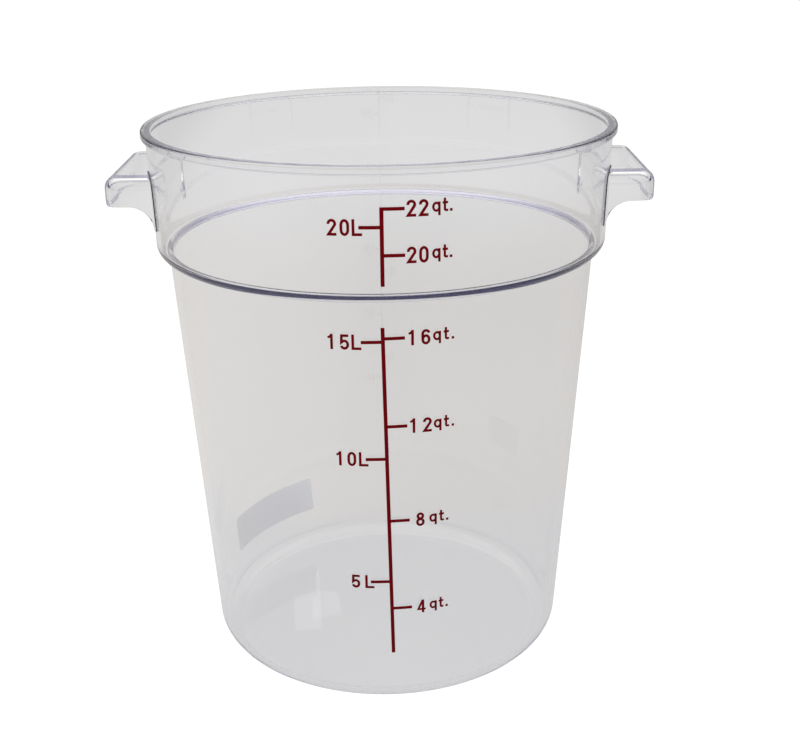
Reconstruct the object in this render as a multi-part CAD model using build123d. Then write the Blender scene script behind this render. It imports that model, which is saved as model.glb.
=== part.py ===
from build123d import *
import os
from math import cos, radians, sin

# Dough proofing container: a round clear tub with a stepped collar, two hollow
# handles, a printed volume scale on the front and a plain label low at the back.
# Millimetres, +Z up. The origin is the middle of the underside, the handles
# point along +X and -X, and the scale faces -Y.

# Tub, outside
TUB_HEIGHT = 380.0
COLLAR_HEIGHT = 83.7
COLLAR_TOP_RADIUS = 157.3
COLLAR_DRAFT = 2.3
SHOULDER_ROUND = 7.0
SHOULDER_FLAT = 0.2
SHOULDER_NECK_ROUND = 0.6
WALL_DRAFT = 19.4
BASE_ROUND = 16.0

# Rim bead
BEAD_REACH = 3.0
BEAD_HEIGHT = 5.2
BEAD_TOP_ROUND = 1.8
BEAD_FOOT_ROUND = 1.2
BEAD_ROOT_ROUND = 0.8

# Tub, inside
WALL_THICKNESS = 3.2
FLOOR_THICKNESS = 3.5
MOUTH_ROUND = 1.0
LEDGE_ROUND = 3.8

# Foot: the middle of the underside is dished by a soft step, so the tub sits on a ring
FOOT_RECESS_DEPTH = 1.0
FOOT_RING_WIDTH = 14.0
FOOT_STEP_WIDTH = 10.0
FOOT_STEP_ROUND = 40.0

# Handles: channels open from below, bonded to the collar
HANDLE_DROP = 27.5
HANDLE_DEPTH = 24.2
HANDLE_HALF_WIDTH = 50.0
HANDLE_WALL = 3.2
HANDLE_LIP_HEIGHT = 19.6
HANDLE_WEB_HEIGHT = 36.0
HANDLE_CORNER_ROUND = 10.5
HANDLE_TOP_ROUND = 9.0
HANDLE_LIP_ROUND = 3.5
HANDLE_FOOT_THICKNESS = 0.6
BOND_GAP = 0.1

# Printed scale
INK_THICKNESS = 0.2
INK_GAP = 0.05
BAR_WIDTH = 2.4
TICK_HEIGHT = 2.1
TICK_REACH = 13.4
COLLAR_SCALE_RISE = 12.0
COLLAR_SCALE_HEADROOM = 18.8
COLLAR_SCALE_AZIMUTH = 0.8
COLLAR_SCALE_LEAN = 0.0
WALL_SCALE_RISE = 42.5
WALL_SCALE_HEADROOM = 16.5
WALL_SCALE_AZIMUTH = 2.16
WALL_SCALE_LEAN = 0.97
# Height of each mark above its bar's foot, as a share of the bar's length
COLLAR_QUART_SHARES = (0.395, 0.978)
COLLAR_LITRE_SHARES = (0.750,)
WALL_QUART_SHARES = (0.151, 0.434, 0.720, 0.970)
WALL_LITRE_SHARES = (0.240, 0.6245, 0.961)

# Label on the outside of the wall, low at the back
LABEL_WIDTH = 91.0
LABEL_HEIGHT = 28.6
LABEL_THICKNESS = 0.2
LABEL_GAP = 0.3
LABEL_CORNER_ROUND = 2.0
LABEL_MIDDLE_HEIGHT = 42.9
LABEL_AZIMUTH = -129.6
LABEL_LEAN = -2.0

# How far a cutting or trimming solid runs past what it cuts
OVERRUN = 5.0

# Levels and radii that follow from these
BEAD_UNDERSIDE = TUB_HEIGHT - BEAD_HEIGHT
SHOULDER_HEIGHT = TUB_HEIGHT - COLLAR_HEIGHT
HANDLE_TOP_HEIGHT = TUB_HEIGHT - HANDLE_DROP
RIM_RADIUS = COLLAR_TOP_RADIUS + BEAD_REACH
COLLAR_FOOT_RADIUS = COLLAR_TOP_RADIUS - COLLAR_DRAFT
WALL_TOP_RADIUS = COLLAR_FOOT_RADIUS - SHOULDER_ROUND - SHOULDER_FLAT - SHOULDER_NECK_ROUND
WALL_FOOT_RADIUS = WALL_TOP_RADIUS - WALL_DRAFT
HANDLE_REACH = COLLAR_TOP_RADIUS + HANDLE_DEPTH
COLLAR_SCALE_FOOT = SHOULDER_HEIGHT + COLLAR_SCALE_RISE
COLLAR_SCALE_LENGTH = BEAD_UNDERSIDE - COLLAR_SCALE_HEADROOM - COLLAR_SCALE_FOOT
WALL_SCALE_LENGTH = SHOULDER_HEIGHT - WALL_SCALE_HEADROOM - WALL_SCALE_RISE


def between(height, foot, foot_radius, top, top_radius):
    """Radius of a straight tapered wall at a height."""
    share = (height - foot) / (top - foot)
    return foot_radius + (top_radius - foot_radius) * share


def wall_radius(height):
    """Outer radius of the lower wall at a height."""
    return between(height, 0, WALL_FOOT_RADIUS, SHOULDER_HEIGHT, WALL_TOP_RADIUS)


def collar_radius(height):
    """Outer radius of the collar at a height."""
    return between(height, SHOULDER_HEIGHT, COLLAR_FOOT_RADIUS, BEAD_UNDERSIDE, COLLAR_TOP_RADIUS)


def make_tub():
    """The one-piece moulding: foot ring, wall, shoulder, collar and rim bead."""
    ring_inner = WALL_FOOT_RADIUS - BASE_ROUND - FOOT_RING_WIDTH
    ledge_height = SHOULDER_HEIGHT + WALL_THICKNESS
    corners = [
        ((0, FOOT_RECESS_DEPTH), 0),
        ((ring_inner - FOOT_STEP_WIDTH, FOOT_RECESS_DEPTH), FOOT_STEP_ROUND),
        ((ring_inner, 0), FOOT_STEP_ROUND),
        ((WALL_FOOT_RADIUS, 0), BASE_ROUND),
        ((WALL_TOP_RADIUS, SHOULDER_HEIGHT), SHOULDER_NECK_ROUND),
        ((COLLAR_FOOT_RADIUS, SHOULDER_HEIGHT), SHOULDER_ROUND),
        ((COLLAR_TOP_RADIUS, BEAD_UNDERSIDE), BEAD_ROOT_ROUND),
        ((RIM_RADIUS, BEAD_UNDERSIDE), BEAD_FOOT_ROUND),
        ((RIM_RADIUS, TUB_HEIGHT), BEAD_TOP_ROUND),
        ((COLLAR_TOP_RADIUS - WALL_THICKNESS, TUB_HEIGHT), MOUTH_ROUND),
        ((collar_radius(ledge_height) - WALL_THICKNESS, ledge_height), SHOULDER_ROUND - WALL_THICKNESS),
        ((WALL_TOP_RADIUS - WALL_THICKNESS, ledge_height), LEDGE_ROUND),
        ((wall_radius(FLOOR_THICKNESS) - WALL_THICKNESS, FLOOR_THICKNESS), BASE_ROUND - WALL_THICKNESS),
        ((0, FLOOR_THICKNESS), 0),
    ]
    points = [point for point, _ in corners]
    rounds = [size for _, size in corners]
    profile = Plane.XZ * make_face(FilletPolyline(*points, radius=rounds, close=True))
    return revolve(profile, Axis.Z)


def handle_block(reach, half_width, top, side_face, corner_round, top_round):
    """A handle's form: its side view and its plan crossed, with rounded top edges."""
    side = extrude(side_face, amount=half_width, both=True)
    plan_outline = FilletPolyline(
        (0, -half_width), (reach, -half_width), (reach, half_width), (0, half_width),
        radius=[corner_round, corner_round],
    )
    plan = make_face([plan_outline, Line((0, half_width), (0, -half_width))])
    block = side & extrude(plan, amount=top)
    crown = block.faces().sort_by(Axis.Z)[-1].edges()
    root = crown.filter_by(Axis.Y).sort_by(Axis.X)[0]
    return fillet([edge for edge in crown if edge is not root], top_round)


def handle_side(web_foot, lip_foot):
    """Side view of a handle: level top, short lip and a web that arches down to the collar."""
    root = collar_radius(web_foot) * cos(radians(45))
    arch_radius = lip_foot - web_foot
    web_front = (collar_radius(web_foot) ** 2 - (HANDLE_HALF_WIDTH - HANDLE_WALL) ** 2) ** 0.5
    arch_start = web_front + HANDLE_FOOT_THICKNESS
    arch_end = arch_start + arch_radius
    outline = FilletPolyline(
        (arch_end, lip_foot), (HANDLE_REACH, lip_foot),
        (HANDLE_REACH, HANDLE_TOP_HEIGHT), (root, HANDLE_TOP_HEIGHT),
        radius=[HANDLE_LIP_ROUND, 0],
    )
    lines = [
        outline,
        Line((root, HANDLE_TOP_HEIGHT), (root, web_foot)),
        Line((root, web_foot), (arch_start, web_foot)),
        CenterArc((arch_end, web_foot), arch_radius, 90, 90),
    ]
    return Plane.XZ * make_face(lines)


def make_handle():
    """The +X handle: a hollow channel, open from below and against the collar."""
    web_foot = HANDLE_TOP_HEIGHT - HANDLE_WEB_HEIGHT
    lip_foot = HANDLE_TOP_HEIGHT - HANDLE_LIP_HEIGHT
    outside = handle_block(
        HANDLE_REACH, HANDLE_HALF_WIDTH, HANDLE_TOP_HEIGHT,
        handle_side(web_foot, lip_foot), HANDLE_CORNER_ROUND, HANDLE_TOP_ROUND,
    )
    hollow_reach = HANDLE_REACH - HANDLE_WALL
    hollow_top = HANDLE_TOP_HEIGHT - HANDLE_WALL
    hollow_side = Plane.XZ * make_face(
        Polyline((0, 0), (hollow_reach, 0), (hollow_reach, hollow_top), (0, hollow_top), close=True)
    )
    hollow = handle_block(
        hollow_reach, HANDLE_HALF_WIDTH - HANDLE_WALL, hollow_top,
        hollow_side, HANDLE_CORNER_ROUND - HANDLE_WALL, HANDLE_TOP_ROUND - HANDLE_WALL,
    )
    seat_foot = SHOULDER_HEIGHT - OVERRUN
    seat_top = HANDLE_TOP_HEIGHT + OVERRUN
    seat = Polyline(
        (0, seat_foot), (collar_radius(seat_foot) + BOND_GAP, seat_foot),
        (collar_radius(seat_top) + BOND_GAP, seat_top), (0, seat_top), close=True,
    )
    return outside - hollow - revolve(Plane.XZ * make_face(seat), Axis.Z)


def film(radius_at, foot, top, gap, thickness):
    """A thin tapered sleeve just outside a wall, to be cut to a print or a label."""
    outer = gap + thickness
    profile = Polyline(
        (radius_at(foot) + gap, foot), (radius_at(foot) + outer, foot),
        (radius_at(top) + outer, top), (radius_at(top) + gap, top), close=True,
    )
    return revolve(Plane.XZ * make_face(profile), Axis.Z)


def facing(azimuth, height, lean):
    """Upright plane through the axis, facing out at an azimuth from -Y and turned in itself by the lean."""
    turn, tilt = radians(azimuth), radians(lean)
    outward = Vector(sin(turn), -cos(turn), 0)
    across = Vector(cos(turn) * cos(tilt), sin(turn) * cos(tilt), sin(tilt))
    return Plane(origin=(0, 0, height), x_dir=across, z_dir=outward)


def stamp(sleeve, plane, shapes):
    """Cut flat shapes out of a sleeve, straight outwards from a plane."""
    return [sleeve & extrude(plane * shape, amount=RIM_RADIUS) for shape in shapes]


def make_scale(sleeve, plane, length, quart_shares, litre_shares):
    """One printed scale: its bar, its quart marks on the right and litre marks on the left."""
    tick_length = TICK_REACH - BAR_WIDTH / 2
    tick_middle = BAR_WIDTH / 2 + tick_length / 2

    def ticks(shares, side):
        places = [(side * tick_middle, share * length) for share in shares]
        return [Pos(x, y) * Rectangle(tick_length, TICK_HEIGHT) for x, y in places]

    bar = Pos(0, length / 2) * Rectangle(BAR_WIDTH, length)
    return (
        stamp(sleeve, plane, [bar]),
        stamp(sleeve, plane, ticks(quart_shares, 1)),
        stamp(sleeve, plane, ticks(litre_shares, -1)),
    )


def make_label():
    """The plain adhesive label on the back of the wall."""
    half = LABEL_HEIGHT / 2 + LABEL_WIDTH * sin(radians(abs(LABEL_LEAN)))
    foot = LABEL_MIDDLE_HEIGHT - half
    top = LABEL_MIDDLE_HEIGHT + half
    sleeve = film(wall_radius, foot, top, LABEL_GAP, LABEL_THICKNESS)
    outline = RectangleRounded(LABEL_WIDTH, LABEL_HEIGHT, LABEL_CORNER_ROUND)
    return stamp(sleeve, facing(LABEL_AZIMUTH, LABEL_MIDDLE_HEIGHT, LABEL_LEAN), [outline])


def save(name, solids):
    """Write one node, as a single solid or a group of separate solids."""
    shape = solids[0] if len(solids) == 1 else Compound(children=solids)
    export_step(shape, f"parts/{name}.step")


os.makedirs("parts", exist_ok=True)

save("tub", [make_tub()])

handle = make_handle()
save("handle_right", [handle])
save("handle_left", [Rot(0, 0, 180) * handle])

collar_bar, collar_quarts, collar_litres = make_scale(
    film(collar_radius, SHOULDER_HEIGHT + SHOULDER_ROUND, BEAD_UNDERSIDE, INK_GAP, INK_THICKNESS),
    facing(COLLAR_SCALE_AZIMUTH, COLLAR_SCALE_FOOT, COLLAR_SCALE_LEAN),
    COLLAR_SCALE_LENGTH, COLLAR_QUART_SHARES, COLLAR_LITRE_SHARES,
)
save("collar_scale_bar", collar_bar)
save("collar_quart_marks", collar_quarts)
save("collar_litre_marks", collar_litres)

wall_bar, wall_quarts, wall_litres = make_scale(
    film(wall_radius, BASE_ROUND, SHOULDER_HEIGHT, INK_GAP, INK_THICKNESS),
    facing(WALL_SCALE_AZIMUTH, WALL_SCALE_RISE, WALL_SCALE_LEAN),
    WALL_SCALE_LENGTH, WALL_QUART_SHARES, WALL_LITRE_SHARES,
)
save("wall_scale_bar", wall_bar)
save("wall_quart_marks", wall_quarts)
save("wall_litre_marks", wall_litres)

save("rear_label", make_label())
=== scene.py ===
"""A clear dough proofing tub, with two hollow handles, a printed volume scale and a plain label.

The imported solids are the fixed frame. This file gives them their finishes, turns the tub's body again
as a finer mesh for clear plastic, prints the numerals beside the scale's marks, and sets up the studio.
All lengths are in metres and all angles in degrees, unless a name says otherwise.
"""

import logging
import math
from dataclasses import dataclass
from enum import Enum

import bpy
from mathutils import Matrix, Vector


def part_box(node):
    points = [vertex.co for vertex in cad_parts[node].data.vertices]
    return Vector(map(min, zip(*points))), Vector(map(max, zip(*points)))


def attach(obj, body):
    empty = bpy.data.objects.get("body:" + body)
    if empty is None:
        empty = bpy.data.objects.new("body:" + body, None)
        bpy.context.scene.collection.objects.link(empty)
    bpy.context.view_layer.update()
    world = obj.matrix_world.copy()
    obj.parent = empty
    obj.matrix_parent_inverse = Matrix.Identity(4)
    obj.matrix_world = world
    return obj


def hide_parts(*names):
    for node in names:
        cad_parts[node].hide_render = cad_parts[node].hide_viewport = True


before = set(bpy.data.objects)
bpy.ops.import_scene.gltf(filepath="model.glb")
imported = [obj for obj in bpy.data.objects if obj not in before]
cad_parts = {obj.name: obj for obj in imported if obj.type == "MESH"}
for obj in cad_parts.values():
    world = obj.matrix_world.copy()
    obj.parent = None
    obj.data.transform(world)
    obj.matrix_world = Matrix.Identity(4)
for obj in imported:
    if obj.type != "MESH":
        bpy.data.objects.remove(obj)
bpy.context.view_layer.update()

LOG = logging.getLogger("proofing_tub")
BODY = "root"
MM = 0.001

Point = tuple[float, float]
Place = tuple[float, float, float]
Colour = tuple[float, ...]
WHITE: Colour = (1.0, 1.0, 1.0, 1.0)


class Slot(Enum):
    """The record's material slots."""

    PLASTIC = "clear_plastic"
    INK = "red_ink"
    LABEL = "label_stock"


class NodeTree:
    """A node tree under construction, with short calls that add nodes and join them."""

    def __init__(self, tree: bpy.types.NodeTree) -> None:
        """Keep the tree and start it empty.

        Args:
            tree: The node tree to fill.
        """
        self.tree = tree
        self.tree.nodes.clear()

    def add(self, kind: str, **settings: object) -> bpy.types.Node:
        """Add a node.

        Args:
            kind: Blender's name of the node type.
            settings: Properties of the node, set by name.

        Returns:
            The new node.
        """
        node = self.tree.nodes.new(kind)
        for name, value in settings.items():
            setattr(node, name, value)
        return node

    def join(self, source: bpy.types.NodeSocket, target: bpy.types.NodeSocket) -> None:
        """Link an output to an input."""
        self.tree.links.new(source, target)

    def feed(self, target: bpy.types.NodeSocket, value: object) -> None:
        """Give an input a link, if the value is a socket, or else a plain value.

        Args:
            target: The input socket.
            value: An output socket, or a number, colour or vector.
        """
        if isinstance(value, bpy.types.NodeSocket):
            self.join(value, target)
        else:
            target.default_value = value

    def math(self, operation: str, first: object, second: object = 0.0) -> bpy.types.NodeSocket:
        """Add a sum of two numbers.

        Args:
            operation: Blender's name of the operation.
            first: The first number, or the socket that gives it.
            second: The second number, or the socket that gives it.

        Returns:
            The result's socket.
        """
        node = self.add("ShaderNodeMath", operation=operation)
        self.feed(node.inputs[0], first)
        self.feed(node.inputs[1], second)
        return node.outputs[0]

    def blend(self, share: object, low: object, high: object) -> bpy.types.NodeSocket:
        """Mix two numbers.

        Args:
            share: How much of the second number is used, from 0 to 1.
            low: The number at share 0.
            high: The number at share 1.

        Returns:
            The result's socket.
        """
        node = self.add("ShaderNodeMix", data_type="FLOAT")
        self.feed(node.inputs["Factor"], share)
        self.feed(node.inputs["A"], low)
        self.feed(node.inputs["B"], high)
        return node.outputs["Result"]

    def tint(self, share: object, low: object, high: object) -> bpy.types.NodeSocket:
        """Mix two colours.

        Args:
            share: How much of the second colour is used, from 0 to 1.
            low: The colour at share 0.
            high: The colour at share 1.

        Returns:
            The result's socket.
        """
        node = self.add("ShaderNodeMix", data_type="RGBA")
        self.feed(node.inputs[0], share)
        self.feed(node.inputs[6], low)
        self.feed(node.inputs[7], high)
        return node.outputs[2]

    def noise(
        self, place: bpy.types.NodeSocket, scale: float, detail: float = 2.0
    ) -> bpy.types.NodeSocket:
        """Add a noise pattern.

        Args:
            place: The coordinates that it reads.
            scale: How many times it repeats in a metre.
            detail: How many finer layers it has.

        Returns:
            The socket of its value, from 0 to 1.
        """
        node = self.add("ShaderNodeTexNoise")
        node.inputs["Scale"].default_value = scale
        node.inputs["Detail"].default_value = detail
        self.join(place, node.inputs["Vector"])
        return node.outputs["Fac"]

    def spread(self, value: bpy.types.NodeSocket, source: Point, target: Point) -> bpy.types.NodeSocket:
        """Map a number from one range to another, held at the ends.

        Args:
            value: The socket of the number.
            source: The range that it comes from.
            target: The range that it goes to.

        Returns:
            The result's socket.
        """
        node = self.add("ShaderNodeMapRange", interpolation_type="SMOOTHSTEP")
        self.join(value, node.inputs["Value"])
        node.inputs["From Min"].default_value, node.inputs["From Max"].default_value = source
        node.inputs["To Min"].default_value, node.inputs["To Max"].default_value = target
        return node.outputs["Result"]

    def split(self, vector: bpy.types.NodeSocket) -> list[bpy.types.NodeSocket]:
        """The sockets of a vector's X, Y and Z.

        Args:
            vector: The vector's socket.

        Returns:
            The three sockets.
        """
        node = self.add("ShaderNodeSeparateXYZ")
        self.join(vector, node.inputs[0])
        return list(node.outputs)

    def gather(self, *parts: bpy.types.NodeSocket) -> bpy.types.NodeSocket:
        """The socket of the vector whose X, Y and Z are given.

        Args:
            parts: The sockets of the three.

        Returns:
            The vector's socket.
        """
        node = self.add("ShaderNodeCombineXYZ")
        for part, target in zip(parts, node.inputs):
            self.join(part, target)
        return node.outputs[0]


class Finish(NodeTree):
    """A material under construction."""

    def __init__(self, name: str) -> None:
        """Make the material with its output and its object coordinates.

        Args:
            name: The material's name.
        """
        self.material = bpy.data.materials.new(name)
        self.material.use_nodes = True
        super().__init__(self.material.node_tree)
        self.output = self.add("ShaderNodeOutputMaterial")
        self.place = self.add("ShaderNodeTexCoord").outputs["Object"]

    def cover(self, shader: bpy.types.Node) -> None:
        """Make a shader the material's surface."""
        self.join(shader.outputs[0], self.output.inputs["Surface"])


class Coat:
    """A kind of finish, which lays its own nodes in a new material."""

    def material(self, name: str) -> bpy.types.Material:
        """Make the material.

        Args:
            name: The material's name.

        Returns:
            The finished material.
        """
        finish = Finish(name)
        self.lay(finish)
        return finish.material

    def lay(self, finish: Finish) -> None:
        """Add the nodes of this kind of finish."""
        raise NotImplementedError


@dataclass(frozen=True)
class ClearPlastic(Coat):
    """Moulded polycarbonate: clear, glossy, a little violet where light runs a long way through it.

    Attributes:
        ior: Its refractive index.
        soak_per_metre: How strongly it takes up light.
        soak_colour: The colour that it takes up least.
        lamp_pass: The share of a lamp's light that each skin lets through to what lies behind.
        polish: The roughness where it is unmarked, and where it is scuffed.
        scuff_scale: How many scuffs there are in a metre.
        scuff_detail: How many finer layers the scuffs have.
        scuff_reach: The part of the scuff pattern over which the roughness changes.
        flow_scale: How many soft waves from moulding there are in a metre.
        flow_height: The height of those waves.
        flow_strength: How much they show.
    """

    ior: float = 1.585
    soak_per_metre: float = 8.0
    soak_colour: Colour = (0.43, 0.41, 0.62, 1.0)
    lamp_pass: Colour = (0.95, 0.95, 0.96, 1.0)
    polish: Point = (0.004, 0.03)
    scuff_scale: float = 38.0
    scuff_detail: float = 4.0
    scuff_reach: Point = (0.45, 0.8)
    flow_scale: float = 14.0
    flow_height: float = 0.0004
    flow_strength: float = 0.10

    def lay(self, finish: Finish) -> None:
        """Add a clear shader that lamps shine through, over a volume that takes up light.

        Args:
            finish: The material under construction.
        """
        shader = finish.add("ShaderNodeBsdfPrincipled")
        shader.inputs["Base Color"].default_value = WHITE
        shader.inputs["Transmission Weight"].default_value = 1.0
        shader.inputs["IOR"].default_value = self.ior
        scuffs = finish.noise(finish.place, self.scuff_scale, self.scuff_detail)
        finish.join(finish.spread(scuffs, self.scuff_reach, self.polish), shader.inputs["Roughness"])
        flow = finish.add("ShaderNodeBump")
        flow.inputs["Strength"].default_value = self.flow_strength
        flow.inputs["Distance"].default_value = self.flow_height
        finish.join(finish.noise(finish.place, self.flow_scale), flow.inputs["Height"])
        finish.join(flow.outputs["Normal"], shader.inputs["Normal"])
        clear = finish.add("ShaderNodeBsdfTransparent")
        clear.inputs["Color"].default_value = self.lamp_pass
        path = finish.add("ShaderNodeLightPath")
        mix = finish.add("ShaderNodeMixShader")
        finish.join(path.outputs["Is Shadow Ray"], mix.inputs[0])
        finish.join(shader.outputs[0], mix.inputs[1])
        finish.join(clear.outputs[0], mix.inputs[2])
        finish.cover(mix)
        soak = finish.add("ShaderNodeVolumeAbsorption")
        soak.inputs["Color"].default_value = self.soak_colour
        soak.inputs["Density"].default_value = self.soak_per_metre
        finish.join(soak.outputs[0], finish.output.inputs["Volume"])


@dataclass(frozen=True)
class Mottled(Coat):
    """An opaque finish whose colour wanders between two near tones.

    Attributes:
        colour: Its first tone.
        other_colour: Its second tone.
        scale: How many blots there are in a metre.
        detail: How many finer layers the blots have.
    """

    colour: Colour
    other_colour: Colour
    scale: float
    detail: float

    def lay(self, finish: Finish) -> None:
        """Add a shader whose colour follows the blots.

        Args:
            finish: The material under construction.
        """
        shader = finish.add("ShaderNodeBsdfPrincipled")
        blots = finish.noise(finish.place, self.scale, self.detail)
        finish.join(finish.tint(blots, self.colour, self.other_colour), shader.inputs["Base Color"])
        self.polish(finish, shader, blots)
        finish.cover(shader)

    def polish(self, finish: Finish, shader: bpy.types.Node, blots: bpy.types.NodeSocket) -> None:
        """Set how rough and glossy the shader is.

        Args:
            finish: The material under construction.
            shader: Its shader.
            blots: The socket of the pattern that the colour follows.
        """
        raise NotImplementedError


@dataclass(frozen=True)
class PrintedInk(Mottled):
    """Screen-printed ink: dark red, a little uneven in its film and slightly glossy."""

    colour: Colour = (0.115, 0.0002, 0.0014, 1.0)
    other_colour: Colour = (0.160, 0.0007, 0.004, 1.0)
    scale: float = 260.0
    detail: float = 3.0
    roughness: Point = (0.45, 0.60)
    roughness_reach: Point = (0.3, 0.7)
    gloss: float = 0.08

    def polish(self, finish: Finish, shader: bpy.types.Node, blots: bpy.types.NodeSocket) -> None:
        """Make the ink rougher where its film is thin.

        Args:
            finish: The material under construction.
            shader: Its shader.
            blots: The socket of the pattern that the colour follows.
        """
        roughness = finish.spread(blots, self.roughness_reach, self.roughness)
        finish.join(roughness, shader.inputs["Roughness"])
        shader.inputs["Specular IOR Level"].default_value = self.gloss


@dataclass(frozen=True)
class EvenlyRough(Mottled):
    """A mottled finish that is as rough all over."""

    roughness: float

    def polish(self, finish: Finish, shader: bpy.types.Node, blots: bpy.types.NodeSocket) -> None:
        """Set one roughness on the shader itself."""
        shader.inputs["Roughness"].default_value = self.roughness


@dataclass(frozen=True)
class LabelStock(EvenlyRough):
    """A plain pale paper label, faintly mottled."""

    colour: Colour = (0.93, 0.93, 0.92, 1.0)
    other_colour: Colour = (0.98, 0.98, 0.97, 1.0)
    scale: float = 420.0
    detail: float = 4.0
    roughness: float = 0.6


@dataclass(frozen=True)
class PaintedJointShade(EvenlyRough):
    """Painted shade: the near-black violet line that light draws edge on along a bonded joint in thick
    clear plastic.
    """

    # Painted shade: these tones stand in for the dark line that light draws at the joint.
    colour: Colour = (0.006, 0.005, 0.012, 1.0)
    other_colour: Colour = (0.020, 0.018, 0.034, 1.0)
    scale: float = 180.0
    detail: float = 2.0
    roughness: float = 0.35


class GeometryTree(NodeTree):
    """A Geometry Nodes tree under construction, with named inputs, which turns a mesh into another."""

    def __init__(self, name: str) -> None:
        """Start the tree with its geometry input and output.

        Args:
            name: The tree's name.
        """
        super().__init__(bpy.data.node_groups.new(name, "GeometryNodeTree"))
        self.sockets: dict[str, str] = {}
        for way in ("OUTPUT", "INPUT"):
            self.tree.interface.new_socket("Geometry", in_out=way, socket_type="NodeSocketGeometry")
        self.start = self.add("NodeGroupInput")
        self.end = self.add("NodeGroupOutput")

    def input(self, name: str, kind: str) -> bpy.types.NodeSocket:
        """Add a named input.

        Args:
            name: The input's name.
            kind: Blender's name of the socket type.

        Returns:
            The socket that gives the input's value inside the tree.
        """
        item = self.tree.interface.new_socket(name, in_out="INPUT", socket_type=kind)
        self.sockets[name] = item.identifier
        return next(s for s in self.start.outputs if s.identifier == item.identifier)

    def finish(self, geometry: bpy.types.NodeSocket, material: bpy.types.NodeSocket) -> None:
        """End the tree in Realize Instances and Set Material.

        Args:
            geometry: The socket of the finished geometry.
            material: The socket of its material.
        """
        real = self.add("GeometryNodeRealizeInstances")
        paint = self.add("GeometryNodeSetMaterial")
        self.join(geometry, real.inputs["Geometry"])
        self.join(real.outputs["Geometry"], paint.inputs["Geometry"])
        self.join(material, paint.inputs["Material"])
        self.join(paint.outputs["Geometry"], self.end.inputs[0])

    def run(self, name: str, mesh: bpy.types.Mesh, values: dict[str, object]) -> bpy.types.Object:
        """Run the tree on a mesh and keep the result as a plain mesh.

        Args:
            name: The new piece's name.
            mesh: The mesh that the tree starts from.
            values: The value of each named input.

        Returns:
            The new piece, with no modifier left on it.
        """
        piece = bpy.data.objects.new(name, mesh)
        bpy.context.scene.collection.objects.link(piece)
        modifier = piece.modifiers.new(name, "NODES")
        modifier.node_group = self.tree
        for label, value in values.items():
            modifier[self.sockets[label]] = value
        bpy.context.view_layer.update()
        graph = bpy.context.evaluated_depsgraph_get()
        made = bpy.data.meshes.new_from_object(piece.evaluated_get(graph))
        piece.modifiers.clear()
        piece.data = made
        made.name = name
        drop_empty_slots(made)
        turn_outwards(made)
        return piece


def drop_empty_slots(mesh: bpy.types.Mesh) -> None:
    """Drop the material slots that hold nothing, which a grid made by nodes starts with.

    Args:
        mesh: The mesh.
    """
    for index in reversed(range(len(mesh.materials))):
        if mesh.materials[index] is None:
            mesh.materials.pop(index=index)


def turn_outwards(mesh: bpy.types.Mesh) -> None:
    """Turn a closed mesh's faces over if they point inwards.

    Args:
        mesh: The mesh, whose volume is measured by its triangles.
    """
    mesh.calc_loop_triangles()
    corners = [[mesh.vertices[i].co for i in triangle.vertices] for triangle in mesh.loop_triangles]
    if sum(a.dot(b.cross(c)) for a, b, c in corners) < 0:
        mesh.flip_normals()


@dataclass(frozen=True)
class Corner:
    """One corner of a turned profile: its radius from the axis, its height, and the round on it."""

    radius: float
    height: float
    round: float = 0.0


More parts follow.
